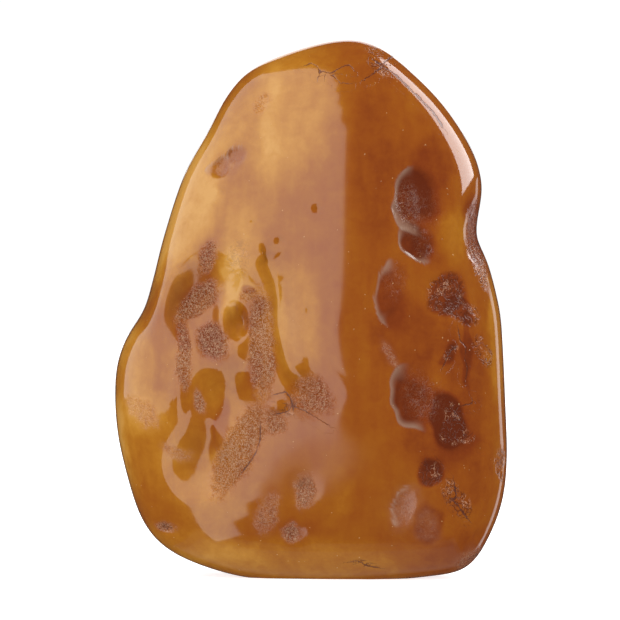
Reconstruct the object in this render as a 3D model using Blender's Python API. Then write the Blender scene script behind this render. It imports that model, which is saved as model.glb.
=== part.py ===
"""A polished lump of butterscotch amber that stands on a small ground flat.

Metres, +Z up. The face with the deep hollows looks along -Y. The origin is on the surface that the
stone stands on, in the middle of its width and of its depth.
"""

from collections import namedtuple

import bmesh
import bpy
import numpy as np

MM = 0.001

# Driving sizes, in mm
HEIGHT = 90.0
FACE_DEPTH = 19.0
BACK_DEPTH = 18.0
BELLY_HEIGHT = 34.0
# How far past its own length a hollow still reaches round the edge.
REACH_BEHIND = 6.0

# Shape of the worn body
CELLS_PER_SIDE = 28
# Gathers the cells towards the face, which has the most to show.
FACE_GATHERING = 0.2
# How far the stone turns its face to the left, as a slope of depth over width.
FACE_SLANT = 0.13
# Share of the depth that is lost at the crown and at the foot.
CROWN_THINNING = 0.24
FOOT_THINNING = 0.10
# 1 rounds front and back like an ellipsoid. Less makes them flatter, with a quicker edge.
ROUNDNESS = 0.84
FLATTER_CROWN = 0.26
FLATTER_FOOT = 0.28
FLATTER_LEFT = 0.32
# The outline's waves fade from the rim towards the middle, where what is nearer than this is averaged.
WEAR_ANGLE = np.radians(17)
WEAR_FADE = 5
REACH_CURVE = 0.9

# The outline seen from the front, clockwise from the crown: (across, up). Up is from the flat, and the
# points below it are ground away.
OUTLINE = [
    (5.9, 90.0), (11.2, 88.9), (16.3, 85.0), (21.3, 80.0), (25.0, 74.9), (27.6, 69.9), (28.7, 64.8),
    (28.0, 60.4), (27.8, 57.0), (29.7, 52.2), (31.1, 47.0), (31.9, 42.0), (32.5, 30.0), (32.8, 19.5),
    (31.8, 11.9), (28.6, 4.6), (25.6, 1.4), (21.0, 0.4), (10.9, -0.6), (0.8, -0.9), (-9.2, -0.4),
    (-17.8, 1.7), (-24.4, 4.9), (-28.3, 9.6), (-31.0, 17.6), (-32.6, 25.5), (-32.7, 34.0),
    (-31.1, 39.6), (-28.0, 44.6), (-26.4, 49.7), (-24.4, 57.3), (-21.0, 67.4), (-16.9, 74.9),
    (-14.4, 80.0), (-10.1, 85.0), (-1.7, 88.5),
]
HEART = (1.5, 40.5)

# A hollow pressed into the worn body. Across and up place its middle as seen from the front, length
# and width are its half sizes, and turn is the angle of its length from the horizontal. Floor is the
# share of it that is flat before the wall begins, where 0 is a bowl. Lean moves the deepest place
# sideways by that share of the half width, which steepens one wall: to the left if it is positive. A
# depth below zero swells the skin instead.
Hollow = namedtuple("Hollow", "name across up length width turn depth floor lean")

FACE_HOLLOWS = [
    Hollow("oval pit", -13.4, 69.0, 3.8, 2.5, 45, 0.8, 0.4, 0.0),
    Hollow("left rim swelling", -24.7, 46.4, 8.4, 3.0, 74, -1.1, 0.0, 0.0),
    Hollow("left hollow", -16.8, 45.4, 10.8, 7.8, 74, 3.7, 0.0, 0.3),
    Hollow("left floor pit", -15.6, 39.2, 3.8, 3.4, 90, 1.0, 0.1, 0.3),
    Hollow("finger valley", -9.8, 43.6, 8.6, 4.0, 97, 1.8, 0.1, -0.4),
    Hollow("finger furrow", -4.6, 42.6, 10.6, 4.2, 101, 1.3, 0.0, 0.3),
    Hollow("window hollow", -14.8, 30.2, 8.6, 7.4, 90, 3.0, 0.0, -0.3),
    Hollow("frosted groove", -10.6, 24.0, 11.0, 3.4, 70, 1.1, 0.1, 0.0),
    Hollow("low left hollow", -18.0, 18.8, 7.0, 6.4, 0, 1.3, 0.0, 0.0),
    Hollow("low frosted pit", -0.8, 16.0, 3.0, 2.2, 80, 0.6, 0.1, 0.2),
    Hollow("foot pit", -2.9, 8.2, 2.6, 2.0, 90, 0.5, 0.0, 0.0),
    Hollow("corner pit", -23.6, 8.8, 2.4, 1.6, -20, 0.6, 0.0, 0.0),
    Hollow("shelf by the knob", 0.4, 31.0, 4.8, 3.4, 10, 0.5, 0.1, 0.0),
    Hollow("upper right hollow", 17.4, 63.4, 7.4, 4.6, 100, 0.8, 0.1, 0.7),
    Hollow("upper right tail", 18.4, 55.6, 4.2, 3.2, 116, 0.6, 0.1, 0.65),
    Hollow("middle right hollow", 14.6, 47.8, 5.6, 3.8, 80, 0.6, 0.1, 0.7),
    Hollow("large right hollow", 18.2, 31.6, 8.8, 5.8, 110, 0.8, 0.1, 0.68),
    Hollow("low right hollow", 15.6, 13.2, 4.6, 2.8, 78, 0.5, 0.2, 0.4),
    Hollow("low right dimple", 19.2, 9.4, 3.2, 2.2, 60, 0.5, 0.2, 0.2),
    Hollow("dark pit", 19.8, 18.4, 2.3, 2.0, 70, 1.2, 0.0, 0.0),
    Hollow("crumbled patch", 22.7, 46.4, 4.8, 3.6, -50, 0.5, 0.4, 0.0),
    Hollow("edge notch", 27.6, 57.6, 6.0, 3.0, 92, 2.2, 0.1, 0.2),
    Hollow("edge pit", 31.0, 19.4, 3.4, 1.8, 86, 1.0, 0.1, 0.0),
]
BACK_HOLLOWS = [
    Hollow("back saddle", 6.0, 56.0, 17.0, 9.0, 60, 1.6, 0.0, 0.0),
    Hollow("back basin", -11.0, 30.0, 11.0, 7.5, 120, 2.3, 0.1, 0.2),
    Hollow("back basin lobe", -14.6, 40.4, 6.0, 4.2, 80, 1.6, 0.1, 0.0),
    Hollow("back long pit", 12.6, 28.0, 8.4, 3.8, 74, 1.7, 0.2, -0.4),
    Hollow("back crown pit", 2.0, 75.4, 4.4, 2.8, 20, 1.1, 0.2, 0.0),
    Hollow("back round pit", -9.8, 60.6, 3.4, 3.0, 0, 1.2, 0.1, 0.0),
    Hollow("back foot hollow", 6.4, 11.6, 7.0, 3.6, 8, 1.1, 0.1, 0.0),
    Hollow("back side pit", 22.4, 49.0, 4.4, 2.8, 105, 1.3, 0.2, 0.3),
]


def smoothstep(low, high, value):
    share = np.clip((value - low) / (high - low), 0.0, 1.0)
    return share * share * (3.0 - 2.0 * share)


def closed_curve(points, steps=24):
    """Points along a smooth closed curve that passes through the given ones."""
    before, here, after, beyond = (np.roll(points, shift, axis=0)[:, None, :] for shift in (1, 0, -1, -2))
    t = np.linspace(0.0, 1.0, steps, endpoint=False)[None, :, None]
    curve = (
        2.0 * here
        + (after - before) * t
        + (2.0 * before - 5.0 * here + 4.0 * after - beyond) * t ** 2
        + (3.0 * here - before - 3.0 * after + beyond) * t ** 3
    )
    return 0.5 * curve.reshape(-1, 2)


def outline_reach(angle):
    """Distance from the heart to the outline in each direction, and the same with its waves worn off."""
    edge = closed_curve(OUTLINE) - HEART
    turns = np.arctan2(edge[:, 1], edge[:, 0])
    order = np.argsort(turns)
    reach = np.hypot(edge[:, 0], edge[:, 1])[order]
    spread = WEAR_ANGLE * np.linspace(-2.4, 2.4, 41)
    weight = np.exp(-((spread / WEAR_ANGLE) ** 2))
    exact = np.interp(angle, turns[order], reach, period=2 * np.pi)
    nearby = np.interp(angle[:, None] + spread, turns[order], reach, period=2 * np.pi)
    return exact, nearby @ weight / weight.sum()


def even_sphere(cells):
    """A cube cut into even cells and pushed out to a unit sphere: the mesh, and its directions."""
    form = bmesh.new()
    bmesh.ops.create_cube(form, size=2.0)
    bmesh.ops.subdivide_edges(form, edges=form.edges[:], cuts=cells - 1, use_grid_fill=True)
    spread = np.tan(np.array([v.co for v in form.verts]) * np.pi / 4)
    spread /= np.linalg.norm(spread, axis=1)[:, None]
    spread[:, 1] -= FACE_GATHERING
    return form, spread / np.linalg.norm(spread, axis=1)[:, None]


def worn_body(direction):
    """The stone without its hollows: the outline where it is widest, rounded off to front and back."""
    rim = np.hypot(direction[:, 0], direction[:, 2])
    angle = np.arctan2(direction[:, 2], direction[:, 0])
    exact, worn = outline_reach(angle)
    reach = (worn + (exact - worn) * rim ** WEAR_FADE) * rim ** REACH_CURVE
    across = HEART[0] + reach * np.cos(angle)
    up = HEART[1] + reach * np.sin(angle)
    thinning = np.where(
        up > BELLY_HEIGHT,
        CROWN_THINNING * ((up - BELLY_HEIGHT) / (HEIGHT - BELLY_HEIGHT)) ** 2,
        FOOT_THINNING * ((up - BELLY_HEIGHT) / BELLY_HEIGHT) ** 2,
    )
    side = np.where(direction[:, 1] < 0, FACE_DEPTH, BACK_DEPTH)
    roundness = (
        ROUNDNESS
        - FLATTER_FOOT * smoothstep(0.5, 1.0, -np.sin(angle))
        - FLATTER_CROWN * smoothstep(0.1, 1.0, np.sin(angle))
        - FLATTER_LEFT * smoothstep(0.0, 0.9, -np.cos(angle))
    )
    away = np.sign(direction[:, 1]) * np.abs(direction[:, 1]) ** roundness
    return np.column_stack([across, away * side * (1.0 - thinning) - FACE_SLANT * across, up])


def spread_from(along, beside, lean):
    """0 at the deepest place of a hollow and 1 on its rim, for a deepest place that leans sideways."""
    gap = beside - lean
    slope = gap * lean
    room = 1.0 - lean ** 2
    return (slope + np.sqrt(slope ** 2 + room * (along ** 2 + gap ** 2))) / room


def press(points, hollow, side):
    """Pushes a hollow into the face (side -1) or into the back (side +1).

    Across the edge of the stone it fades with the depth, so that it never comes out on the far side.
    """
    away = side * points[:, 1]
    turn = np.radians(hollow.turn)
    across, up = points[:, 0] - hollow.across, points[:, 2] - hollow.up
    near = (np.hypot(across, up) < hollow.width) & (away > 0)
    along = (across * np.cos(turn) + up * np.sin(turn)) / hollow.length
    beside = (up * np.cos(turn) - across * np.sin(turn)) / hollow.width
    behind = np.maximum(away[near].mean() - away, 0.0) / (2.0 * hollow.length + REACH_BEHIND)
    distance = np.hypot(spread_from(along, beside, hollow.lean), behind)
    share = 1.0 - smoothstep(hollow.floor, 1.0, distance)
    moved = points.copy()
    moved[:, 1] -= side * hollow.depth * share * smoothstep(-2.0, 1.0, away)
    return moved


def stone_points(direction):
    points = worn_body(direction)
    for hollow in FACE_HOLLOWS:
        points = press(points, hollow, -1)
    for hollow in BACK_HOLLOWS:
        points = press(points, hollow, +1)
    return points


def cut_flat(form):
    """Cuts the foot off level, so that the stone stands, and closes the cut with one face."""
    cut = bmesh.ops.bisect_plane(
        form,
        geom=form.verts[:] + form.edges[:] + form.faces[:],
        plane_co=(0.0, 0.0, 0.0),
        plane_no=(0.0, 0.0, -1.0),
        clear_outer=True,
    )
    rim = [item for item in cut["geom_cut"] if isinstance(item, bmesh.types.BMEdge)]
    bmesh.ops.edgeloop_fill(form, edges=rim)


def amber_material():
    material = bpy.data.materials.new("butterscotch_amber")
    material.use_nodes = True
    shader = material.node_tree.nodes["Principled BSDF"]
    shader.inputs["Base Color"].default_value = (0.34, 0.10, 0.012, 1.0)
    shader.inputs["Roughness"].default_value = 0.12
    shader.inputs["IOR"].default_value = 1.54
    shader.inputs["Metallic"].default_value = 0.0
    return material


def build_amber(collection):
    form, direction = even_sphere(CELLS_PER_SIDE)
    for vertex, point in zip(form.verts, stone_points(direction) * MM):
        vertex.co = point
    cut_flat(form)
    corners = np.array([vertex.co for vertex in form.verts])
    low, high = corners.min(axis=0), corners.max(axis=0)
    foot = ((low[0] + high[0]) / 2, (low[1] + high[1]) / 2, low[2])
    bmesh.ops.translate(form, verts=form.verts[:], vec=[-value for value in foot])
    bmesh.ops.recalc_face_normals(form, faces=form.faces[:])
    mesh = bpy.data.meshes.new("amber")
    form.to_mesh(mesh)
    form.free()
    mesh.shade_smooth()
    mesh.materials.append(amber_material())
    stone = bpy.data.objects.new("amber", mesh)
    collection.objects.link(stone)
    return stone


def main():
    for old in list(bpy.data.objects):
        bpy.data.objects.remove(old)
    collection = bpy.data.collections.new("polished_amber")
    bpy.context.scene.collection.children.link(collection)
    build_amber(collection)


main()
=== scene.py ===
"""Looks of a polished lump of butterscotch amber that stands on its ground foot.

Metres, +Z up, and the face with the deep hollows looks along -Y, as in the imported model. Places on the
stone are given in millimetres as seen from the front: across is along X, and up is along Z.
"""

from collections import namedtuple

import bpy
import numpy as np
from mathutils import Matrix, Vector, noise


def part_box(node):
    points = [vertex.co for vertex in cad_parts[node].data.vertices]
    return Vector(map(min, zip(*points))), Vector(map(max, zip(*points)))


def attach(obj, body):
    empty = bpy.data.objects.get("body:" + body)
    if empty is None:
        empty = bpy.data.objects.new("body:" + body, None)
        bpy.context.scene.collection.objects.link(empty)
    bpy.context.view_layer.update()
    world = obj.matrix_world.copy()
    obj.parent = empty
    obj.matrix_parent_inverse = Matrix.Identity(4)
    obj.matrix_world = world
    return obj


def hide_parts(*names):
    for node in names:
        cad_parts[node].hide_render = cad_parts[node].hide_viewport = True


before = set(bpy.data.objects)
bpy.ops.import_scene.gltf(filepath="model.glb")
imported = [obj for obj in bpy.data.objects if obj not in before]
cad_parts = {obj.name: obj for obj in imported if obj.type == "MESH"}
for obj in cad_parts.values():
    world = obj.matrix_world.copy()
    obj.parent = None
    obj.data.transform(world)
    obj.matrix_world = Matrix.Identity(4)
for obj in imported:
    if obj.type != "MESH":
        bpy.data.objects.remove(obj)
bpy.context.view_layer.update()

MM = 0.001
NODE = "amber"
LOW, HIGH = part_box(NODE)
HEIGHT = HIGH.z - LOW.z

# The photograph is square. The stone's height takes up this share of it, and the rest below its foot is
# this share of the stone's height.
STONE_SHARE = 536 / 620
ROOM_BELOW = 44 / 536
LENS = 200.0
SENSOR = 36.0

# An oval place on the stone. Length and width are half sizes in mm, and turn is the angle of its length
# from the horizontal, in degrees. Amount is what it adds in its middle, and it fades out towards its rim.
Patch = namedtuple("Patch", "name across up length width turn amount")

# A hollow that is pressed deeper than the solid has it, or less deep where its depth is negative. Floor is
# the share of it that is flat before its wall begins, and lean moves its deepest place sideways, to the
# left if it is positive.
Hollow = namedtuple("Hollow", "name across up length width turn depth floor lean")

# A hollow with a sharp rim on the side that it leans to, with a duller polish inside that rim and a painted
# highlight in its colour there. Tone is how the amber's tone changes in it.
Bowl = namedtuple("Bowl", "name across up length width turn depth tone lean")

# A valley line through the given places, going down. Left and right are the widths of its two slopes.
Furrow = namedtuple("Furrow", "name places left right depth")

# A grainy place: how rough it is, and how much paler its skin is made by a painted reflection of the frost.
Grain = namedtuple("Grain", "name across up length width turn rough bloom")

# A hairline through the given places, with its half width in mm.
Line = namedtuple("Line", "name places width")

# All the marks of the face or of the back
Side = namedtuple("Side", "bowls grain haze crumble tones stains cracks")

# An area light: its place, the point that it faces, its width and height, its radiance and the kind of ray
# that sees it
Panel = namedtuple("Panel", "name place aim size radiance seen_by")

# In mm: points nearer than this are merged, and two rings of this width keep the edge of the flat crisp
MERGE_DISTANCE = 0.01
FOOT_RING = 0.9

# How wide the fading border of a patch is, as a share of its size: most patches, stains and haze
SOFT_BORDER = 0.5
CLEAR_BORDER = 0.25
HAZY_BORDER = 0.9

# How far in mm the grain and the crumbled skin stand up
GRAIN_HEIGHT = 0.025
CRUMBLE_HEIGHT = 0.10

# The places that need the finest cells: from, to (across, up)
FINE_PLACES = [
    ((-24.0, 19.0), (-12.0, 31.0)),
    ((-24.0, 31.0), (-16.0, 52.0)),
    ((-16.0, 30.0), (-2.0, 54.0)),
    ((12.0, 25.0), (18.0, 37.0)),
    ((12.0, 42.0), (18.0, 68.0)),
]

# Small forms that the solid is too coarse for, and three of its hollows made flatter
FACE_HOLLOWS = [
    Hollow("ridge left of the wedge", -14.4, 42.7, 4.2, 1.9, 95, -1.1, 0.0, 0.0),
    Hollow("olive wedge", -12.4, 42.6, 3.9, 2.6, 92, 2.3, 0.0, -0.6),
    Hollow("knob", -5.5, 28.9, 1.7, 1.3, 0, -0.8, 0.0, 0.0),
    Hollow("disc below the knob", -5.7, 26.2, 2.2, 2.1, 0, 0.25, 0.6, 0.0),
    Hollow("window rim", -21.7, 31.0, 5.4, 2.2, 90, -0.45, 0.0, 0.0),
    Hollow("window tail", -18.1, 23.4, 4.6, 3.4, 97, 0.6, 0.0, -0.6),
    Hollow("middle dot", 1.3, 61.2, 0.9, 0.8, 0, 0.25, 0.2, 0.0),
    Hollow("dot with a crescent", -4.9, 55.8, 1.0, 0.9, 0, 0.35, 0.2, 0.0),
    Hollow("low middle dot", -0.3, 44.4, 0.9, 0.6, 60, 0.35, 0.2, 0.0),
    Hollow("crown mark", -7.9, 78.6, 1.8, 1.1, 70, 0.15, 0.2, 0.0),
    Hollow("left dot", -14.3, 63.8, 0.8, 0.7, 0, 0.2, 0.2, 0.0),
    Hollow("cloud dot", -9.2, 59.1, 0.8, 0.6, 0, 0.2, 0.2, 0.0),
    Hollow("low frosted dot", -1.0, 16.1, 1.3, 1.0, 80, 0.4, 0.2, 0.0),
    Hollow("foot dot", -2.9, 8.1, 1.3, 1.1, 0, 0.3, 0.2, 0.0),
    Hollow("corner dot", -23.9, 8.7, 1.8, 0.9, -15, 0.4, 0.2, 0.0),
    Hollow("right foot dot", 27.6, 7.7, 1.1, 1.0, 0, 0.35, 0.2, 0.0),
    Hollow("ring chip", 27.7, 21.8, 1.0, 0.8, 0, 0.3, 0.2, 0.0),
    Hollow("bay above the low left hollow", -19.0, 19.8, 7.4, 7.2, 90, 1.7, 0.0, -0.5),
    Hollow("furrow pool", -1.9, 32.9, 2.6, 2.2, 110, 0.5, 0.0, -0.4),
    Hollow("upper right hollow made flatter", 17.4, 63.4, 7.4, 4.6, 100, -0.2, 0.1, 0.7),
    Hollow("middle right hollow made flatter", 14.6, 47.8, 5.6, 3.8, 80, -0.35, 0.1, 0.7),
    Hollow("large right hollow made flatter", 18.2, 31.6, 8.8, 5.8, 110, -0.3, 0.1, 0.68),
]

FACE_BOWLS = [
    Bowl("upper right hollow", 17.3, 62.8, 5.8, 3.9, 93, 0.54, -0.36, 0.6),
    Bowl("upper right tail", 17.5, 55.4, 3.9, 2.5, 125, 0.44, -0.36, 0.5),
    Bowl("middle right hollow", 13.4, 47.2, 5.5, 2.6, 86, 0.3, -0.26, 0.6),
    Bowl("large right hollow", 17.3, 30.4, 5.6, 4.2, 105, 0.54, -0.38, 0.6),
    Bowl("oval pit, low lobe", -14.8, 68.2, 2.1, 1.6, 45, 0.46, -0.2, 0.3),
    Bowl("oval pit, high lobe", -12.3, 70.3, 2.0, 1.6, 45, 0.46, -0.2, 0.3),
    Bowl("low right hollow", 15.4, 12.6, 3.8, 2.0, 76, 0.34, -0.12, 0.5),
]
BACK_BOWLS = [
    Bowl("long pit", 12.4, 28.0, 6.8, 2.6, 74, 0.5, -0.2, 0.4),
    Bowl("round pit", -9.8, 60.6, 2.8, 2.4, 0, 0.4, -0.24, 0.3),
]

BESIDE_THE_FINGER = [
    (-6.9, 52.1), (-5.7, 49.1), (-5.1, 46.2), (-5.0, 42.7),
    (-4.7, 39.5), (-3.9, 36.5), (-2.9, 33.9), (-1.7, 32.6),
]
BELOW_THE_FINGER = [(-9.0, 36.6), (-8.8, 33.0), (-8.6, 29.4)]
FACE_FURROWS = [
    Furrow("beside the finger", BESIDE_THE_FINGER, 2.1, 4.4, 1.2),
    Furrow("below the finger", BELOW_THE_FINGER, 4.6, 2.6, 0.6),
]

FACE_GRAIN = [
    Grain("left hollow wall", -18.6, 45.9, 4.5, 2.0, 47, 1.0, 0.0),
    Grain("left hollow lobe", -16.6, 53.4, 2.9, 1.6, 70, 0.75, 0.0),
    Grain("left floor pit", -15.8, 39.6, 3.2, 2.6, 90, 1.0, 0.0),
    Grain("left hollow tail", -20.8, 37.1, 5.9, 1.4, 90, 0.9, 0.0),
    Grain("finger valley", -7.9, 39.2, 8.8, 2.2, 92, 1.0, 0.0),
    Grain("long groove", -11.6, 22.0, 8.6, 3.0, 64, 1.0, 0.0),
    Grain("disc below the knob", -5.7, 26.2, 2.2, 2.0, 0, 0.8, 0.1),
    Grain("shelf by the knob", 0.5, 30.7, 3.7, 3.3, 90, 0.8, 0.0),
    Grain("window fleck", -18.1, 29.7, 2.2, 1.0, 100, 0.9, 0.4),
    Grain("low left fleck", -22.0, 21.2, 2.5, 1.3, -20, 0.5, 0.5),
    Grain("belly flecks", -27.7, 27.9, 3.4, 2.0, -50, 0.5, 0.2),
    Grain("foot flecks", -6.9, 11.1, 3.7, 2.0, 80, 0.6, 0.2),
    Grain("oval pit", -13.6, 69.0, 3.4, 2.2, 45, 0.35, 0.0),
    Grain("crown mark", -7.9, 78.8, 2.0, 1.2, 70, 0.5, 0.0),
    Grain("upper right hollow, left side", 16.0, 61.4, 5.2, 2.4, 96, 0.4, 0.05),
    Grain("upper right hollow", 19.2, 61.0, 4.4, 2.8, 100, 0.26, 0.0),
    Grain("upper right tail", 18.6, 55.2, 3.0, 2.0, 110, 0.32, 0.0),
    Grain("middle right hollow", 13.8, 49.2, 3.8, 2.2, 82, 0.32, 0.0),
    Grain("large right hollow", 18.2, 30.6, 5.0, 3.8, 110, 0.36, 0.0),
    Grain("neck of the large hollow", 12.9, 37.1, 2.9, 0.8, 120, 0.5, 0.3),
    Grain("low right hollow", 15.5, 12.4, 3.7, 2.0, 76, 0.4, 0.6),
    Grain("low right dimple", 19.3, 9.4, 3.0, 2.0, 100, 0.35, 0.4),
    Grain("low frosted pit", -0.8, 15.1, 2.9, 1.8, 80, 0.8, 0.5),
    Grain("foot pit", -2.9, 8.1, 1.7, 1.5, 60, 0.9, 0.4),
    Grain("corner pit", -23.9, 8.7, 2.0, 1.0, -15, 0.9, 0.3),
    Grain("corner facet", 26.5, 3.4, 3.2, 1.7, 35, 0.6, 0.5),
    Grain("edge notch", 27.2, 57.4, 5.6, 1.6, 95, 0.36, 0.0),
    Grain("strip below the notch", 28.2, 51.6, 4.4, 0.9, 105, 0.4, 0.1),
    Grain("pit in the cloud", -10.0, 47.6, 1.6, 1.3, 0, 0.7, 0.0),
]

# Where the polish is duller without being grainy
FACE_HAZE = [
    Patch("end of the long reflection", 0.4, 18.8, 6.8, 3.6, 15, 0.2),
    Patch("border of the left hollow", -22.6, 47.4, 7.0, 1.5, 80, 0.12),
    Patch("left hollow", -17.6, 47.0, 7.0, 4.6, 70, 0.12),
    Patch("below the window", -16.0, 20.0, 6.0, 4.0, 80, 0.08),
    Patch("low right", 16.0, 11.0, 5.0, 4.0, 90, 0.1),
]
BACK_HAZE = [
    Patch("basin", -11.4, 32.0, 11.0, 6.5, 110, 0.16),
    Patch("saddle", 8.0, 60.0, 9.0, 5.0, 60, 0.08),
]
BACK_GRAIN = [
    Grain("basin", -11.2, 29.6, 8.4, 4.6, 116, 0.9, 0.2),
    Grain("basin lobe", -14.6, 40.8, 4.4, 2.8, 80, 0.8, 0.1),
    Grain("long pit", 12.4, 28.0, 6.4, 2.2, 74, 0.7, 0.2),
    Grain("crown pit", 2.0, 75.4, 3.4, 1.9, 20, 0.6, 0.3),
    Grain("round pit", -9.8, 60.6, 2.6, 2.2, 0, 0.9, 0.1),
    Grain("foot hollow", 6.4, 11.4, 5.4, 2.2, 8, 0.6, 0.3),
    Grain("side pit", 22.4, 49.0, 3.4, 1.8, 105, 0.8, 0.3),
    Grain("loose flecks", 5.0, 66.0, 2.6, 1.4, 50, 0.4, 0.3),
]

# Where the skin is broken into small winding ridges and cracks
FACE_CRUMBLE = [
    Patch("crumbled patch", 22.2, 47.4, 3.4, 2.9, 60, 0.9),
    Patch("crumbled tail", 24.8, 44.3, 2.9, 1.5, -35, 0.9),
    Patch("diagonal cracks", 28.4, 37.8, 2.8, 1.2, -60, 0.7),
    Patch("vein spots", 23.0, 37.8, 1.4, 1.0, 40, 0.6),
    Patch("red veins", 23.0, 28.0, 1.8, 1.2, 90, 0.9),
    Patch("below the red veins", 23.4, 24.8, 2.2, 2.0, 60, 1.0),
    Patch("crumbs", 25.8, 23.6, 1.4, 1.2, 0, 0.8),
    Patch("dark pit", 19.7, 18.3, 2.3, 2.1, 70, 1.0),
    Patch("cracked pit", 23.9, 13.6, 3.8, 1.5, -62, 1.0),
    Patch("edge notch", 27.2, 57.8, 5.6, 1.7, 95, 0.35),
    Patch("edge below the notch", 27.8, 52.0, 4.6, 1.0, 105, 0.6),
    Patch("edge pit", 31.6, 18.8, 2.6, 0.9, 95, 0.9),
    Patch("crown chips", 10.6, 87.6, 2.0, 1.4, -30, 0.5),
    Patch("shoulder", 11.6, 84.6, 3.2, 0.8, -35, 0.5),
    Patch("foot mark", 8.8, 2.8, 2.6, 0.8, -8, 0.6),
    Patch("corner facet", 27.2, 3.0, 2.6, 1.4, 35, 0.5),
    Patch("corner pit", -23.9, 8.7, 1.6, 0.7, -15, 0.6),
    Patch("knob", -3.4, 29.2, 1.4, 1.8, 0, 0.5),
    Patch("marbled crease", -11.6, 53.2, 4.4, 2.6, 90, 0.32),
]
BACK_CRUMBLE = [
    Patch("side of the basin", -5.0, 26.0, 3.4, 1.6, 60, 0.8),
    Patch("below the side pit", 23.6, 42.6, 3.8, 1.8, 80, 0.8),
    Patch("shoulder", -15.0, 70.0, 3.0, 1.4, 60, 0.7),
    Patch("by the long pit", 17.4, 22.4, 2.8, 1.8, 30, 0.8),
    Patch("edge by the notch", 27.4, 57.8, 5.0, 1.6, 95, 0.7),
]

# Where the amber's tone is paler or, below zero, darker, with a soft border
FACE_TONES = [
    Patch("crown", -1.7, 87.4, 13.4, 3.4, 10, 0.0),
    Patch("upper reflection", -3.4, 78.3, 11.8, 7.6, 80, 0.3),
    Patch("left shoulder", -18.5, 64.0, 13.4, 3.7, 70, 0.36),
    Patch("middle streak", -6.4, 76.6, 11.8, 1.7, 90, 0.1),
    Patch("marbled cloud", -11.4, 54.6, 8.1, 3.2, 90, 0.2),
    Patch("marbled core", -11.8, 48.4, 3.4, 1.7, 90, 0.0),
    Patch("left belly", -30.2, 34.6, 10.1, 3.7, 90, 0.28),
    Patch("low left", -26.9, 21.2, 7.6, 6.7, 90, 0.16),
    Patch("left foot", -20.2, 5.2, 11.8, 3.0, -12, 0.16),
    Patch("foot", -1.7, 3.2, 18.1, 3.6, 0, 0.19),
    Patch("notch cloud", 23.2, 56.8, 4.2, 2.8, 90, 0.2),
    Patch("right flank", 31.1, 43.0, 13.4, 1.7, 90, 0.24),
    Patch("upper right", 24.5, 67.9, 6.7, 3.0, 110, 0.0),
    Patch("left rim, low", -33.0, 24.0, 14.0, 2.0, 100, 0.3),
    Patch("left rim, high", -24.4, 58.0, 22.0, 2.0, 70, 0.3),
    Patch("finger floor", -1.7, 43.0, 10.1, 3.4, 90, 0.15),
    Patch("brown middle", 10.4, 68.2, 15.1, 3.7, 90, -0.16),
    Patch("below the red veins", 20.2, 22.8, 6.7, 3.7, 0, -0.17),
    Patch("corner", 24.4, 4.0, 7.4, 3.7, 20, -0.12),
    Patch("left hollow", -19.3, 46.4, 6.0, 3.0, 60, -0.02),
    Patch("left floor pit", -15.8, 39.6, 3.4, 2.7, 90, -0.08),
    Patch("finger valley", -8.4, 41.3, 8.4, 2.0, 92, 0.06),
    Patch("window", -17.5, 29.6, 6.0, 4.0, 90, -0.02),
    Patch("oval pit", -13.6, 69.0, 3.4, 2.4, 45, -0.08),
    Patch("knob", -4.0, 29.2, 2.0, 1.7, 0, -0.02),
    Patch("low middle", 2.0, 15.8, 7.7, 5.0, 0, 0.04),
    Patch("foot pit", -1.7, 8.1, 4.4, 2.0, 0, -0.06),
    Patch("left half", -14.0, 42.0, 34.0, 13.0, 84, 0.15),
    Patch("brown between the hollows", 16.4, 40.5, 5.4, 6.0, 90, -0.2),
    Patch("right of the large hollow", 25.4, 32.6, 9.0, 4.0, 90, -0.16),
    Patch("low right", 25.2, 19.5, 8.0, 4.6, 90, -0.12),
    Patch("right foot", 20.0, 5.4, 9.0, 3.6, 0, -0.08),
    Patch("lobe of the left hollow", -16.8, 53.6, 1.9, 1.4, 70, -0.06),
    Patch("left hollow floor", -18.4, 49.4, 4.0, 2.0, 60, -0.06),
    Patch("brown right", 18.4, 71.6, 6.0, 5.0, 100, -0.08),
    Patch("red cloud above the upper right hollow", 19.6, 66.4, 5.6, 3.8, 90, -0.2),
    Patch("red cloud in the upper right hollow", 18.4, 58.0, 6.0, 3.4, 100, -0.1),
    Patch("olive wedge", -13.0, 42.0, 3.6, 2.4, 92, 0.12),
    Patch("below the belly", -26.6, 28.0, 4.4, 3.6, 0, 0.14),
    Patch("low left hollow", -17.6, 12.6, 5.4, 5.0, 0, 0.1),
    Patch("frosted groove", -13.4, 21.6, 8.0, 3.0, 64, 0.14),
    Patch("furrow", -5.6, 43.6, 9.6, 1.7, 98, 0.16),
    Patch("pale crease", -13.0, 49.4, 5.0, 1.6, 85, 0.26),
]
BACK_TONES = [
    Patch("saddle", 6.0, 58.0, 18.0, 8.0, 60, 0.14),
    Patch("basin", -11.4, 32.0, 11.0, 6.5, 110, -0.2),
    Patch("long pit", 12.4, 28.0, 7.4, 3.2, 74, -0.26),
    Patch("side", 24.0, 44.0, 15.0, 5.0, 96, 0.16),
    Patch("crown", 1.0, 79.0, 9.0, 6.0, 10, 0.2),
    Patch("left flank", -25.0, 36.0, 16.0, 4.6, 94, 0.2),
    Patch("foot", 0.0, 8.0, 18.0, 5.0, 0, 0.12),
    Patch("round pit", -9.8, 60.6, 3.0, 2.6, 0, -0.24),
    Patch("red cloud", 3.6, 40.0, 9.0, 5.0, 30, -0.16),
]

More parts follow.
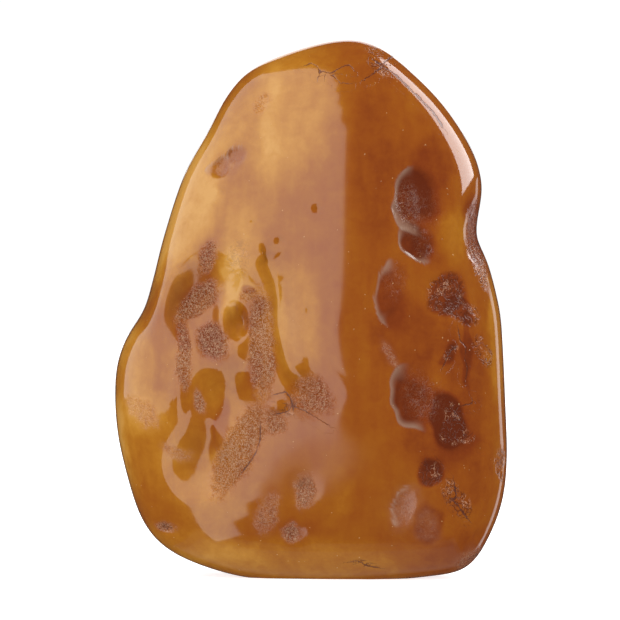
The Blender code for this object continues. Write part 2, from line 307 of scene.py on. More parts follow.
# Mostly darker insides of hollows and pits, with a clear border
FACE_STAINS = [
    Patch("red vein field", 22.6, 26.6, 4.6, 2.6, 100, -0.44),
    Patch("crumbled patch", 22.4, 47.2, 3.4, 2.9, 60, -0.32),
    Patch("crumbled tail", 24.6, 44.4, 2.9, 1.6, -35, -0.3),
    Patch("dark pit", 19.6, 18.3, 2.2, 2.0, 90, -0.36),
    Patch("low right dimple", 19.4, 9.6, 3.2, 2.2, 100, -0.2),
    Patch("notch", 27.2, 57.8, 5.7, 1.7, 95, -0.22),
    Patch("brown of the left hollow", -18.5, 48.0, 3.2, 1.8, 60, -0.12),
    Patch("brown below it", -20.7, 40.5, 3.0, 1.2, 95, -0.16),
    Patch("left floor pit", -16.2, 39.8, 3.0, 1.9, 95, -0.2),
    Patch("finger, high", -9.4, 44.4, 2.8, 1.6, 70, -0.16),
    Patch("finger, low", -9.2, 35.0, 3.0, 1.2, 80, -0.16),
    Patch("right of the window's tail", -14.8, 25.4, 4.4, 1.3, 76, -0.2),
    Patch("lobe of the left hollow", -17.0, 54.4, 2.2, 1.1, 75, -0.05),
    Patch("knob", -5.3, 29.1, 1.6, 1.1, 0, 0.04),
    Patch("pit in the cloud", -10.2, 48.0, 1.1, 0.9, 0, -0.24),
    Patch("vein blotch", 22.8, 37.6, 2.2, 1.0, 60, -0.2),
    Patch("long vein", 25.6, 38.0, 6.0, 0.8, 92, -0.16),
]
BACK_STAINS = [
    Patch("side pit", 22.4, 49.0, 3.0, 1.6, 105, -0.2),
]

KNOB_ARC = [(-5.5, 30.9), (-4.0, 31.4), (-3.2, 30.4), (-2.9, 29.1), (-3.5, 28.2), (-5.4, 27.7)]
FACE_CRACKS = [
    Line("crown arc", [(-0.5, 85.2), (0.3, 85.5), (1.2, 85.0), (1.5, 84.2), (1.5, 83.3)], 0.1),
    Line("crown branch", [(2.0, 84.2), (3.9, 83.2), (5.0, 82.0), (6.4, 82.0)], 0.1),
    Line("crown second arc", [(3.4, 83.7), (5.2, 84.7), (6.4, 85.2), (7.1, 84.5)], 0.1),
    Line("shoulder crack", [(9.2, 82.8), (10.6, 83.7), (11.8, 84.8), (12.3, 85.7), (13.6, 86.7)], 0.16),
    Line("knob arc", KNOB_ARC, 0.13),
    Line("knob tail", [(-2.9, 29.1), (-0.7, 28.2), (2.9, 26.0)], 0.07),
    Line("red arc", [(23.7, 28.1), (24.2, 28.9), (25.2, 29.2), (26.7, 29.4), (26.4, 30.1)], 0.12),
    Line("vein", [(24.2, 41.5), (24.5, 39.6), (25.5, 38.6), (25.2, 36.8), (25.7, 35.1), (25.5, 33.6)], 0.1),
    Line("vein spot", [(21.8, 35.8), (22.5, 37.3), (23.0, 38.1), (23.7, 38.6)], 0.14),
    Line("beside the strip", [(10.9, 85.8), (14.3, 83.3), (17.6, 80.0), (20.2, 77.3), (21.8, 74.9)], 0.2),
    Line("foot crack", [(6.4, 3.2), (7.7, 3.4), (9.7, 2.5), (11.3, 2.2)], 0.1),
    Line("low cracked pit", [(23.5, 16.5), (23.9, 14.1), (23.2, 13.8), (24.4, 12.4), (25.7, 10.6)], 0.16),
    Line("groove seam", [(-8.1, 25.4), (-8.1, 23.5), (-9.1, 20.8), (-10.8, 18.5)], 0.14),
]
BACK_CRACKS = [
    Line("long crack", [(-2.0, 68.4), (0.6, 63.0), (-0.4, 58.2), (2.2, 53.0), (1.6, 49.6)], 0.1),
    Line("branch", [(-0.4, 58.2), (-3.4, 55.0), (-4.0, 52.6)], 0.08),
    Line("low crack", [(14.0, 16.0), (17.6, 14.2), (21.0, 14.8)], 0.1),
]

FACE = Side(FACE_BOWLS, FACE_GRAIN, FACE_HAZE, FACE_CRUMBLE, FACE_TONES, FACE_STAINS, FACE_CRACKS)
BACK = Side(BACK_BOWLS, BACK_GRAIN, BACK_HAZE, BACK_CRUMBLE, BACK_TONES, BACK_STAINS, BACK_CRACKS)

# Amber from its dark red-brown to its palest yellow, in linear colour
AMBER_TONES = [
    (0.00, (0.130, 0.022, 0.006)),
    (0.22, (0.230, 0.044, 0.008)),
    (0.42, (0.320, 0.080, 0.009)),
    (0.58, (0.370, 0.112, 0.010)),
    (0.74, (0.460, 0.170, 0.015)),
    (0.88, (0.560, 0.240, 0.028)),
    (1.00, (0.640, 0.310, 0.060)),
]
MIDDLE_TONE = 0.48

# Waves in that tone: their size in mm, detail, distortion and roughness, and how far they move it
CLOUDS = (9.0, 3.0, 1.2, 0.5, 0.30)
MOTTLE = (2.4, 3.0, 0.6, 0.5, 0.20)
STREAKS = (1.6, 2.0, 0.3, 0.5, 0.14)
SPECKLES = (0.9, 4.0, 0.8, 0.6, 0.12)
# The streaks are drawn out upwards, as their waves are this much denser along each axis.
STREAK_SCALE = (1.0, 1.0, 0.14)

# What the frosted grain multiplies the amber's colour by, and the other colours in the skin
GRAIN_TINT = (0.88, 0.66, 0.58)
# The threads are glints painted into the grain.
PAINTED_GLINT_THREAD_COLOR = (0.76, 0.47, 0.28)
# A painted reflection: the pale scatter of light off the frost
PAINTED_FROST_REFLECTION_COLOR = (0.50, 0.27, 0.17)
# Painted highlight inside the sharp rim of a bowl
PAINTED_RIM_HIGHLIGHT_COLOR = (0.60, 0.40, 0.28)
# Painted glint on the chips, which the bump also dents
PAINTED_GLINT_CHIP_COLOR = (0.72, 0.42, 0.17)
CURL_COLOR = (0.72, 0.40, 0.24)
VEIN_COLOR = (0.120, 0.024, 0.007)

# How far each of them covers what is below it
PAINTED_GLINT_THREAD_COVER = 0.62
PAINTED_FROST_REFLECTION_COVER = 0.6
PAINTED_RIM_HIGHLIGHT_COVER = 0.4
PAINTED_GLINT_CHIP_COVER = 0.55
CRUMB_COVER = 0.7
CURL_COVER = 0.5
CRACK_COVER = 0.85

# The size in mm of the cells that can hold a chip, and the largest radius of a chip as a share of a cell. A
# chip is a small dent in the bump with a glint painted into its colour.
# A cell has one only if its random number from 0 to 1 is above CHIP_FROM.
CHIP_CELL = 0.9
CHIP_RADIUS = 0.13
CHIP_FROM = 0.75

# Roughness of the polish and of the grain, and what the other marks add to it
POLISH = 0.07
GRAIN_ROUGHNESS = 0.13
CRUMBLE_ROUGHNESS = 0.06
SHEEN_ROUGHNESS = 0.16
CRACK_ROUGHNESS = 0.2
AMBER_IOR = 1.54

# Depth of the fine relief in mm, and how far lines, cracks and chips go below the skin as a share of it
RELIEF = 0.6
MARK_DEPTH = -0.05

# Brightness of the white room to the camera, to a surface that mirrors it, and as soft light
WHITE = 1.05
DARK_ROOM = 0.04
SOFT_ROOM = 0.78

# The softbox stands to the left as one flat wall, this far from the stone's middle and square to this
# direction. Angles are in degrees to the left of the front. Each part of it goes from one angle to the next
# and from a low to a high edge above the floor. The edges follow where the stone mirrors the softbox in
# the photograph, which leaves out its low left.
SOFTBOX_RADIANCE = 1.9
SOFTBOX_DISTANCE = 0.38
SOFTBOX_SQUARE_TO = 70.0
SOFTBOX_PARTS = [
    (10.0, 12.5, -0.02, 0.66),
    (12.5, 15.0, -0.24, 0.74),
    (15.0, 18.0, -0.30, 0.82),
    (18.0, 22.0, -0.36, 0.92),
    (22.0, 28.0, -0.44, 1.0),
    (28.0, 47.0, -0.60, 1.0),
    (47.0, 60.0, -0.024, 1.0),
    (60.0, 70.0, -0.034, 1.0),
    (70.0, 82.0, -0.024, 1.0),
    (82.0, 94.0, -0.008, 1.0),
    (94.0, 116.0, 0.01, 1.0),
]

MIDDLE = (0.0, 0.0, 0.5 * HEIGHT)
ON_THE_FLOOR = (0.0, 0.0, 0.0)
PANELS = [
    Panel("upper strip", (0.494, 0.078, 0.78), (0.0, 0.0, 0.78), (0.41, 1.16), 7.0, "glossy"),
    Panel("lower strip", (0.383, 0.321, -0.08), (0.0, 0.0, -0.08), (0.10, 0.46), 1.5, "glossy"),
    Panel("table glow", (0.0, 0.0, -0.30), ON_THE_FLOOR, (0.50, 0.40), 0.16, "glossy"),
    Panel("table glow, middle", (0.0, 0.0, -0.29), ON_THE_FLOOR, (0.40, 0.28), 0.16, "glossy"),
    Panel("left fill", (-0.60, -0.75, 0.60), MIDDLE, (0.80, 0.80), 2.2, "diffuse"),
    Panel("right fill", (0.70, -0.20, 0.40), MIDDLE, (0.40, 0.80), 1.5, "diffuse"),
    Panel("back fill", (0.50, 0.80, 0.70), MIDDLE, (0.90, 0.90), 1.9, "diffuse"),
    Panel("back softbox", (0.0, 0.90, 0.45), MIDDLE, (0.50, 0.60), 1.8, "glossy"),
]

FLOOR_RADIUS = 6.0
FLOOR_GREY = (0.86, 0.86, 0.86, 1.0)
FLOOR_GLOW = 0.8


def smoothstep(low, high, value):
    """0 below low, 1 above high, and an even rise between them."""
    share = np.clip((value - low) / (high - low), 0.0, 1.0)
    return share * share * (3.0 - 2.0 * share)


def deselect_all():
    bpy.ops.object.select_all(action="DESELECT")


def take(piece):
    """Makes a piece the only selected and the active one."""
    deselect_all()
    piece.select_set(True)
    bpy.context.view_layer.objects.active = piece


def places(piece):
    """The piece's points in mm, one row each."""
    values = np.empty(len(piece.data.vertices) * 3, np.float32)
    piece.data.vertices.foreach_get("co", values)
    return values.reshape(-1, 3).astype(float) / MM


def normals(piece):
    """The piece's vertex normals, one row each."""
    values = np.empty(len(piece.data.vertices) * 3, np.float32)
    piece.data.vertex_normals.foreach_get("vector", values)
    return values.reshape(-1, 3).astype(float)


def field(points, size, octaves=2, shift=0.0):
    """Soft noise from -1 to 1 at each point, with waves of the given size in mm."""
    around = Vector((shift, -shift, 2.0 * shift))
    return np.array([noise.fractal(Vector(p) / size + around, 1.0, 2.0, octaves) for p in points])


def push(piece, amounts, direction):
    """Moves the piece's points by these many mm, through a vertex group and a Displace modifier."""
    for sign in (1.0, -1.0):
        weights = np.clip(sign * amounts, 0.0, None)
        reach = weights.max()
        if reach < 0.001:
            continue
        group = piece.vertex_groups.new(name="push")
        for index in np.nonzero(weights > 0.0005)[0].tolist():
            group.add([index], float(weights[index] / reach), "REPLACE")
        bump = piece.modifiers.new("push", "DISPLACE")
        bump.direction = direction
        bump.vertex_group = group.name
        bump.mid_level = 0.0
        bump.strength = sign * float(reach) * MM
        take(piece)
        bpy.ops.object.modifier_apply(modifier=bump.name)
        piece.vertex_groups.remove(piece.vertex_groups["push"])


def oval(points, mark):
    """Place along and beside a mark's length, where 1 is on its rim."""
    turn = np.radians(mark.turn)
    across, up = points[:, 0] - mark.across, points[:, 2] - mark.up
    along = (across * np.cos(turn) + up * np.sin(turn)) / mark.length
    beside = (up * np.cos(turn) - across * np.sin(turn)) / mark.width
    return along, beside


def spread_from(along, beside, lean):
    """0 at the deepest place of a hollow and 1 on its rim, for a deepest place that leans sideways."""
    gap = beside - lean
    slope = gap * lean
    room = 1.0 - lean ** 2
    return (slope + np.sqrt(slope ** 2 + room * (along ** 2 + gap ** 2))) / room


def pressed(points, hollow):
    """How far in mm a hollow presses each point in."""
    along, beside = oval(points, hollow)
    distance = spread_from(along, beside, hollow.lean)
    return hollow.depth * (1.0 - smoothstep(hollow.floor, 1.0, distance))


def bowled(points, bowl):
    """How far in mm a bowl presses each point in: straight down inside its rim."""
    along, beside = oval(points, bowl)
    distance = spread_from(along, beside, bowl.lean)
    return bowl.depth * np.clip(1.0 - distance ** 2, 0.0, None)


def furrowed(points, furrow):
    """How far in mm a furrow presses each point in."""
    gap = hairlines(points, [Line(furrow.name, furrow.places, 1.0)], max(furrow.left, furrow.right))[0]
    share = np.where(gap < 0.0, -gap / furrow.left, gap / furrow.right)
    return furrow.depth * (1.0 - smoothstep(0.0, 1.0, share))


def inside(points, bowl):
    """1 within a bowl, with a clear border on its sharp side and a soft one on the other, and the band
    inside its sharp rim that is duller and carries a painted highlight.
    """
    along, beside = oval(points, bowl)
    distance = spread_from(along, beside, bowl.lean)
    sharp = smoothstep(-0.1, 0.5, beside)
    clear = 1.0 - smoothstep(0.95, 1.05, distance)
    soft = 1.0 - smoothstep(0.5, 1.15, distance)
    return sharp * clear + (1.0 - sharp) * soft, sharp * clear * smoothstep(0.5, 1.0, distance)


def painted(points, patches, soft=SOFT_BORDER):
    """What the patches add up to at each point."""
    total = np.zeros(len(points))
    for patch in patches:
        along, beside = oval(points, patch)
        total += patch.amount * (1.0 - smoothstep(1.0 - soft, 1.0 + soft, np.hypot(along, beside)))
    return total


def covered(points, patches, value, soft=SOFT_BORDER):
    """The strongest of the patches at each point, by the named value of theirs."""
    total = np.zeros(len(points))
    for patch in patches:
        along, beside = oval(points, patch)
        here = 1.0 - smoothstep(1.0 - soft, 1.0 + soft, np.hypot(along, beside))
        total = np.maximum(total, here * getattr(patch, value))
    return total


def stained(points, side):
    """How much the clear stains and the bowls change the tone."""
    total = painted(points, side.stains, CLEAR_BORDER)
    for bowl in side.bowls:
        total += bowl.tone * inside(points, bowl)[0]
    return total


def hairlines(points, lines, reach=1.5):
    """Distance in mm to the nearest hairline, negative on one side of it, and that line's half width."""
    gap = np.full(len(points), reach)
    width = np.zeros(len(points))
    for line in lines:
        corners = np.array(line.places)
        for start, end in zip(corners[:-1], corners[1:]):
            run = end - start
            length = np.hypot(*run)
            away = points[:, [0, 2]] - start
            along = np.clip(away @ run / length ** 2, 0.0, 1.0)
            beside = (run[0] * away[:, 1] - run[1] * away[:, 0]) / length
            off = np.hypot(*(away - along[:, None] * run).T)
            nearer = off < np.abs(gap)
            gap[nearer] = (np.sign(beside) * off)[nearer]
            width[nearer] = line.width
    return gap, width * smoothstep(reach, 0.6 * reach, np.abs(gap))


def paint(piece, name, values):
    """Keeps a value for each point as an attribute that the material reads."""
    attribute = piece.data.attributes.new(name, "FLOAT", "POINT")
    attribute.data.foreach_set("value", values.astype(np.float32))


def fine_stone():
    """A copy of the solid, merged, made quads again and subdivided smooth, with its flat kept flat."""
    deselect_all()
    stone = bpy.data.objects.new("polished_amber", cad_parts[NODE].data.copy())
    bpy.context.scene.collection.objects.link(stone)
    stone.data.materials.clear()
    take(stone)
    bpy.ops.object.mode_set(mode="EDIT")
    bpy.ops.mesh.select_all(action="SELECT")
    bpy.ops.mesh.remove_doubles(threshold=MERGE_DISTANCE * MM)
    bpy.ops.mesh.customdata_custom_splitnormals_clear()
    bpy.ops.mesh.select_mode(type="FACE")
    bpy.ops.mesh.select_all(action="DESELECT")
    bpy.ops.object.mode_set(mode="OBJECT")
    for face in stone.data.polygons:
        face.select = face.center.z < MERGE_DISTANCE * MM and face.normal.z < -0.99
    bpy.ops.object.mode_set(mode="EDIT")
    bpy.ops.mesh.dissolve_faces()
    bpy.ops.mesh.inset(thickness=FOOT_RING * MM)
    bpy.ops.mesh.inset(thickness=FOOT_RING * MM)
    bpy.ops.mesh.select_all(action="SELECT")
    bpy.ops.mesh.tris_convert_to_quads(face_threshold=0.9, shape_threshold=0.9)
    bpy.ops.object.mode_set(mode="OBJECT")
    finer = stone.modifiers.new("finer", "SUBSURF")
    finer.levels = finer.render_levels = 2
    bpy.ops.object.modifier_apply(modifier=finer.name)
    split_fine_places(stone)
    stone.data.shade_smooth()
    return stone


def split_fine_places(stone):
    """Halves the cells of the face where its small forms are."""
    take(stone)
    bpy.ops.object.mode_set(mode="EDIT")
    bpy.ops.mesh.select_all(action="DESELECT")
    bpy.ops.object.mode_set(mode="OBJECT")
    for face in stone.data.polygons:
        across, up = face.center.x / MM, face.center.z / MM
        face.select = face.normal.y < -0.4 and any(
            low[0] < across < high[0] and low[1] < up < high[1] for low, high in FINE_PLACES
        )
    bpy.ops.object.mode_set(mode="EDIT")
    bpy.ops.mesh.subdivide(number_cuts=1)
    bpy.ops.mesh.select_all(action="DESELECT")
    bpy.ops.object.mode_set(mode="OBJECT")


def sculpt(stone):
    """Presses in the small forms, and raises the grain and the crumbled skin."""
    points = places(stone)
    facing = smoothstep(0.05, 0.35, -normals(stone)[:, 1])
    hollows = sum(pressed(points, hollow) for hollow in FACE_HOLLOWS)
    furrows = sum(furrowed(points, furrow) for furrow in FACE_FURROWS)
    push(stone, facing * (hollows + furrows), "Y")
    calm, wobble = uneven(points), warped(points)
    bowls = on_both_sides(stone, lambda side: sum(bowled(calm, bowl) for bowl in side.bowls))
    push(stone, -bowls, "NORMAL")
    rough = on_both_sides(stone, lambda side: covered(wobble, side.grain, "rough"))
    crumble = on_both_sides(stone, lambda side: covered(wobble, side.crumble, "amount"))
    ridges = 1.0 - 2.0 * np.abs(field(points, 1.6, 3, 7.0))
    grain = GRAIN_HEIGHT * rough * field(points, 1.0, 3, 5.0)
    push(stone, grain + CRUMBLE_HEIGHT * crumble * (ridges - 0.8), "NORMAL")


def moved_about(points, waves):
    """The points, moved about by waves of these heights, sizes in mm and octaves."""
    moved = points.copy()
    for shift, (height, size, octaves) in enumerate(waves, 1):
        moved[:, 0] += height * field(points, size, octaves, shift)
        moved[:, 2] += height * field(points, size, octaves, shift + 2)
    return moved


def warped(points):
    """Points for the borders of grain and tone, which aren't plain ovals."""
    return moved_about(points, [(0.7, 4.0, 2), (0.25, 1.3, 2)])


def uneven(points):
    """Points for the rims of the bowls, which bend only in long waves."""
    return moved_about(points, [(0.9, 3.2, 1)])


def on_both_sides(stone, work):
    """What a piece of work gives on the face and on the back, each where the skin looks that way."""
    away = normals(stone)[:, 1]
    face, back = work(FACE), work(BACK)
    return face * smoothstep(-0.1, 0.3, -away) + back * smoothstep(-0.1, 0.3, away)


def colour(stone):
    """Paints what the marks of both sides do to the skin."""
    points = places(stone)
    calm, wobble = uneven(points), warped(points)
    for name, work in (
        ("rough", lambda side: covered(wobble, side.grain, "rough")),
        # Pale veil over the frost, a painted reflection
        ("bloom", lambda side: covered(wobble, side.grain, "bloom")),
        ("haze", lambda side: painted(wobble, side.haze, HAZY_BORDER)),
        ("crumble", lambda side: covered(wobble, side.crumble, "amount")),
        ("tone", lambda side: MIDDLE_TONE + painted(wobble, side.tones) + stained(calm, side)),
        # Band inside the bowls' sharp rims: duller, with a painted highlight in its colour
        ("dull_rim_and_painted_highlight", lambda side: sum(inside(calm, bowl)[1] for bowl in side.bowls)),
        ("crack", lambda side: hairlines(points, side.cracks)[0]),
        ("crack_width", lambda side: hairlines(points, side.cracks)[1]),
    ):
        paint(stone, name, on_both_sides(stone, work))


class Finish:
    """A material, made node by node."""

    def __init__(self, name):
        self.material = bpy.data.materials.new(name)
        self.material.use_nodes = True
        self.tree = self.material.node_tree
        self.shader = self.tree.nodes["Principled BSDF"]

    def set(self, socket, value):
        if isinstance(value, bpy.types.NodeSocket):
            self.tree.links.new(value, socket)
        else:
            socket.default_value = value

    def node(self, kind, inputs=None, output=0, **settings):
        made = self.tree.nodes.new("ShaderNode" + kind)
        for name, value in settings.items():
            setattr(made, name, value)
        for name, value in (inputs or {}).items():
            self.set(made.inputs[name], value)
        return made.outputs[output]

    def math(self, operation, first, second=0.0, third=0.0):
        return self.node("Math", {0: first, 1: second, 2: third}, operation=operation)

    def attribute(self, name):
        return self.node("Attribute", output="Fac", attribute_name=name)

    def noise(self, where, size, detail=2.0, distortion=0.0, roughness=0.5):
        """Noise about 0, with waves of the given size in mm."""
        inputs = {
            "Vector": where,
            "Scale": 1.0 / (size * MM),
            "Detail": detail,
            "Roughness": roughness,
            "Distortion": distortion,
        }
        return self.math("SUBTRACT", self.node("TexNoise", inputs), 0.5)

    def step(self, value, low, high):
        inputs = {"Value": value, "From Min": low, "From Max": high}
        return self.node("MapRange", inputs, interpolation_type="SMOOTHSTEP")

    def mix(self, share, first, second, blend="MIX"):
        made = self.tree.nodes.new("ShaderNodeMix")
        made.data_type = "RGBA"
        made.blend_type = blend
        self.set(made.inputs["Factor"], share)
        for name, value in (("A", first), ("B", second)):
            socket = [s for s in made.inputs if s.name == name and s.type == "RGBA"][0]
            self.set(socket, value if isinstance(value, bpy.types.NodeSocket) else (*value, 1.0))
        return [s for s in made.outputs if s.type == "RGBA"][0]

    def ramp(self, value, stops):
        made = self.tree.nodes.new("ShaderNodeValToRGB")
        self.set(made.inputs["Fac"], value)
        elements = made.color_ramp.elements
        while len(elements) < len(stops):
            elements.new(0.5)
        for element, (place, color) in zip(elements, stops):
            element.position = place
            element.color = (*color, 1.0)
        return made.outputs["Color"]


def amber_body(finish, where):
    """The amber's own colour: clouds, mottle, streaks and speckles about the painted tone."""
    drawn_out = finish.node("Mapping", {"Vector": where, "Scale": STREAK_SCALE})
    tone = finish.attribute("tone")
    for place, waves in ((where, CLOUDS), (where, MOTTLE), (drawn_out, STREAKS), (where, SPECKLES)):
        size, detail, distortion, roughness, amount = waves
        wave = finish.noise(place, size, detail, distortion, roughness)
        tone = finish.math("MULTIPLY_ADD", wave, amount, tone)
    return finish.ramp(tone, AMBER_TONES)


def frosted(finish, where, body, rough):
    """The body with frosted grain where it is rough, pale threads painted in the grain as glints, and a
    pale veil painted over the frost as its scattered reflection.
    """
    winding = finish.math("ABSOLUTE", finish.noise(where, 0.4, 2.0, 0.8))
    # Pale threads painted into the grain as glints
    painted_glint_thread = finish.math("MULTIPLY", finish.step(winding, 0.06, 0.02), finish.attribute("rough"))
    painted_glint_thread = finish.math("MULTIPLY", painted_glint_thread, PAINTED_GLINT_THREAD_COVER)
    browned = finish.mix(1.0, body, GRAIN_TINT, "MULTIPLY")
    grain_with_painted_glints = finish.mix(painted_glint_thread, browned, PAINTED_GLINT_THREAD_COLOR)
    skin = finish.mix(rough, body, grain_with_painted_glints)
    # A pale veil painted over the frost as its scattered reflection
    blotches = finish.math("MULTIPLY_ADD", finish.noise(where, 1.6, 2.0), 1.2, 0.5)
    painted_reflection_veil = finish.math("MULTIPLY", finish.attribute("bloom"), blotches)
    return finish.mix(finish.math("MULTIPLY", painted_reflection_veil, PAINTED_FROST_REFLECTION_COVER), skin, PAINTED_FROST_REFLECTION_COLOR)


def chips(finish, where):
    """1 on the rare small round chips, which the bump dents and whose colour is lightened as a painted
    glint.
    """
    cells = finish.tree.nodes.new("ShaderNodeTexVoronoi")
    finish.set(cells.inputs["Vector"], where)
    finish.set(cells.inputs["Scale"], 1.0 / (CHIP_CELL * MM))
    chosen = finish.node("SeparateColor", {"Color": cells.outputs["Color"]})
    radius = finish.math("MULTIPLY", finish.step(chosen, CHIP_FROM, 1.0), CHIP_RADIUS)
    return finish.math("LESS_THAN", cells.outputs["Distance"], radius)


def crumbs(finish, where):
    """1 on the dark winding lines of the crumbled skin, and 1 on its sparse pale curls."""
    crumbled = finish.step(finish.attribute("crumble"), 0.15, 0.6)
    winding = finish.math("ABSOLUTE", finish.noise(where, 1.4, 3.0, 1.2))
    line = finish.math("MULTIPLY", finish.step(winding, 0.045, 0.015), crumbled)
    curling = finish.math("ABSOLUTE", finish.noise(where, 1.1, 3.0, 1.6))
    here_and_there = finish.step(finish.noise(where, 2.2, 1.0), 0.02, 0.10)
    curl = finish.math("MULTIPLY", finish.step(curling, 0.030, 0.010), crumbled)
    return line, finish.math("MULTIPLY", curl, here_and_there)


def cracks(finish, where):
    """1 in the cracks, which shake about their hairlines and widen and close along them."""
    shaken = finish.math("MULTIPLY_ADD", finish.noise(where, 0.6, 3.0), 0.45, finish.attribute("crack"))
    broken = finish.math("MULTIPLY_ADD", finish.noise(where, 1.3, 2.0), 2.4, 0.75)
    half_width = finish.math("MULTIPLY", finish.attribute("crack_width"), broken)
    return finish.step(finish.math("SUBTRACT", half_width, finish.math("ABSOLUTE", shaken)), -0.05, 0.05)


def amber_finish():
    """Opaque butterscotch amber under a high polish, with its marks, and with glints, a rim highlight and a
    frost reflection painted into its colour.
    """
    finish = Finish("butterscotch_amber")
    where = finish.node("TexCoord", output="Object")
    ragged = finish.math("MULTIPLY_ADD", finish.noise(where, 0.8, 4.0), 0.7, finish.attribute("rough"))
    rough = finish.step(ragged, 0.0, 0.95)
    # Duller polish inside a bowl's sharp rim, with a painted highlight in its colour
    dull_rim_and_painted_highlight = finish.attribute("dull_rim_and_painted_highlight")
    # Chips are small dents in the bump that also carry a painted glint in the colour
    chip, crack = chips(finish, where), cracks(finish, where)
    line, curl = crumbs(finish, where)

    skin = frosted(finish, where, amber_body(finish, where), rough)
    # The rim colour and the chip colour are a painted highlight and painted glints; veins, curls and cracks
    # are the amber's own marks.
    for share, cover, color in (
        (dull_rim_and_painted_highlight, PAINTED_RIM_HIGHLIGHT_COVER, PAINTED_RIM_HIGHLIGHT_COLOR),
        (chip, PAINTED_GLINT_CHIP_COVER, PAINTED_GLINT_CHIP_COLOR),
        (line, CRUMB_COVER, VEIN_COLOR),
        (curl, CURL_COVER, CURL_COLOR),
        (crack, CRACK_COVER, VEIN_COLOR),
    ):
        skin = finish.mix(finish.math("MULTIPLY", share, cover), skin, color)
    finish.set(finish.shader.inputs["Base Color"], skin)

    dull = finish.math("MULTIPLY_ADD", rough, GRAIN_ROUGHNESS - POLISH, POLISH)
    crumbled = finish.step(finish.attribute("crumble"), 0.2, 0.8)
    for share, added in ((crumbled, CRUMBLE_ROUGHNESS), (dull_rim_and_painted_highlight, SHEEN_ROUGHNESS), (crack, CRACK_ROUGHNESS)):
        dull = finish.math("MULTIPLY_ADD", share, added, dull)
    dull = finish.math("ADD", dull, finish.attribute("haze"))
    finish.set(finish.shader.inputs["Roughness"], dull)
    finish.shader.inputs["IOR"].default_value = AMBER_IOR

    fine = finish.noise(where, 0.38, 3.0, 0.3, 0.7)
    relief = finish.math("MULTIPLY", finish.math("MULTIPLY", rough, rough), fine)
    for mark in (line, crack, chip):
        relief = finish.math("MULTIPLY_ADD", mark, MARK_DEPTH, relief)
    bump = finish.node("Bump", {"Height": relief, "Distance": RELIEF * MM, "Strength": 1.0})
    finish.set(finish.shader.inputs["Normal"], bump)
    return finish.material


def light_panel(panel):
    """A flat area light that faces a point. It is seen only by its kind of ray, and never by the camera."""
    data = bpy.data.lights.new(panel.name, "AREA")
    data.shape = "RECTANGLE"
    width, height = panel.size
    data.size = width
    data.size_y = height
    # A one-sided Lambertian panel of this radiance gives off pi times its area.
    data.energy = panel.radiance * np.pi * width * height
    light = bpy.data.objects.new(panel.name, data)
    bpy.context.scene.collection.objects.link(light)
    light.location = panel.place
    gaze = Vector(panel.aim) - Vector(panel.place)
    light.rotation_euler = gaze.to_track_quat("-Z", "Y").to_euler()
    light.visible_camera = False
    light.visible_diffuse = panel.seen_by == "diffuse"
    light.visible_glossy = panel.seen_by == "glossy"


def towards(angle):
    """The level direction that is this many degrees to the left of the front."""
    return Vector((-np.sin(np.radians(angle)), -np.cos(np.radians(angle)), 0.0))


def on_softbox(angle):
    """The place on the softbox's wall in this direction, level with the floor."""
    return towards(angle) * SOFTBOX_DISTANCE / np.cos(np.radians(angle - SOFTBOX_SQUARE_TO))


def softbox_part(first, last, low, high):
    """The panel that is one part of the softbox's wall."""
    start, end = on_softbox(first), on_softbox(last)
    place = 0.5 * (start + end) + Vector((0.0, 0.0, 0.5 * (low + high)))
    size = ((end - start).length, high - low)
    return Panel("softbox", place, place - towards(SOFTBOX_SQUARE_TO), size, SOFTBOX_RADIANCE, "glossy")


def studio_lights():
    """Lights whose mirror images shape the stone, and soft ones that only brighten it."""
    for part in SOFTBOX_PARTS:
        light_panel(softbox_part(*part))
    for panel in PANELS:
        light_panel(panel)


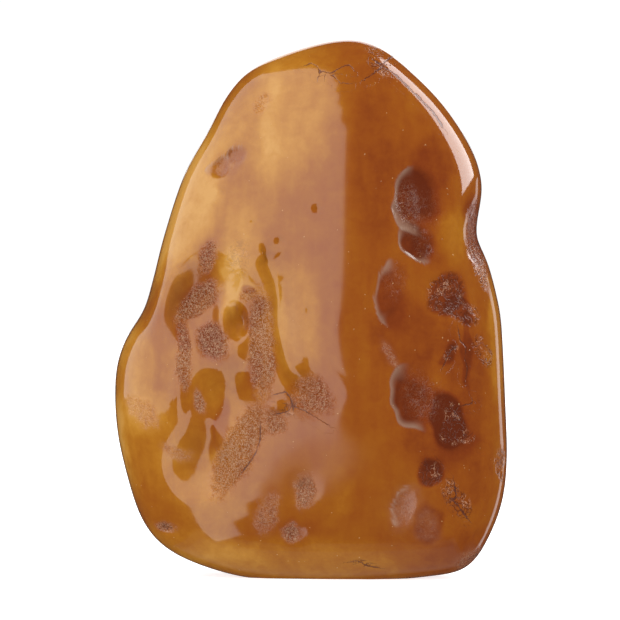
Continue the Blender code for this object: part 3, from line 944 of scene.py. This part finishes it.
def white_room():
    """White to the camera, and dim where the stone mirrors it."""
    world = bpy.data.worlds.new("white_room")
    bpy.context.scene.world = world
    world.use_nodes = True
    tree = world.node_tree
    background = tree.nodes["Background"]
    path = tree.nodes.new("ShaderNodeLightPath")
    bright = tree.nodes.new("ShaderNodeMapRange")
    dim = tree.nodes.new("ShaderNodeMapRange")
    # To the camera WHITE, to a mirroring surface DARK_ROOM and to anything else SOFT_ROOM
    tree.links.new(path.outputs["Is Glossy Ray"], dim.inputs["Value"])
    dim.inputs["To Min"].default_value = SOFT_ROOM
    dim.inputs["To Max"].default_value = DARK_ROOM
    tree.links.new(path.outputs["Is Camera Ray"], bright.inputs["Value"])
    tree.links.new(dim.outputs["Result"], bright.inputs["To Min"])
    bright.inputs["To Max"].default_value = WHITE
    tree.links.new(bright.outputs["Result"], background.inputs["Strength"])
    background.inputs["Color"].default_value = (1.0, 1.0, 1.0, 1.0)


def floor():
    """A pale floor that only the camera sees, so that it casts nothing up onto the stone."""
    deselect_all()
    foot = (0.0, 0.0, LOW.z)
    bpy.ops.mesh.primitive_circle_add(vertices=96, radius=FLOOR_RADIUS, fill_type="NGON", location=foot)
    ground = bpy.context.object
    ground.name = "pale_floor"
    finish = Finish("pale_floor")
    finish.shader.inputs["Base Color"].default_value = FLOOR_GREY
    finish.shader.inputs["Roughness"].default_value = 0.9
    finish.shader.inputs["Emission Color"].default_value = (1.0, 1.0, 1.0, 1.0)
    finish.shader.inputs["Emission Strength"].default_value = FLOOR_GLOW
    ground.data.materials.append(finish.material)
    ground.visible_glossy = False
    ground.visible_shadow = False
    ground.visible_diffuse = False


def camera():
    """A long lens that frames the stone as the photograph does."""
    data = bpy.data.cameras.new("photo_camera")
    data.lens = LENS
    data.sensor_width = SENSOR
    eye = bpy.data.objects.new("photo_camera", data)
    bpy.context.scene.collection.objects.link(eye)
    span = HEIGHT / STONE_SHARE
    height = LOW.z - ROOM_BELOW * HEIGHT + 0.5 * span
    distance = span * LENS / SENSOR
    eye.location = (0.0, -distance, height)
    eye.rotation_euler = (np.pi / 2, 0.0, 0.0)
    bpy.context.scene.camera = eye


def main():
    camera()
    stone = fine_stone()
    sculpt(stone)
    colour(stone)
    stone.data.materials.append(amber_finish())
    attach(stone, "root")
    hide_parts(NODE)
    floor()
    studio_lights()
    white_room()
    bpy.context.scene.view_settings.view_transform = "Standard"


main()
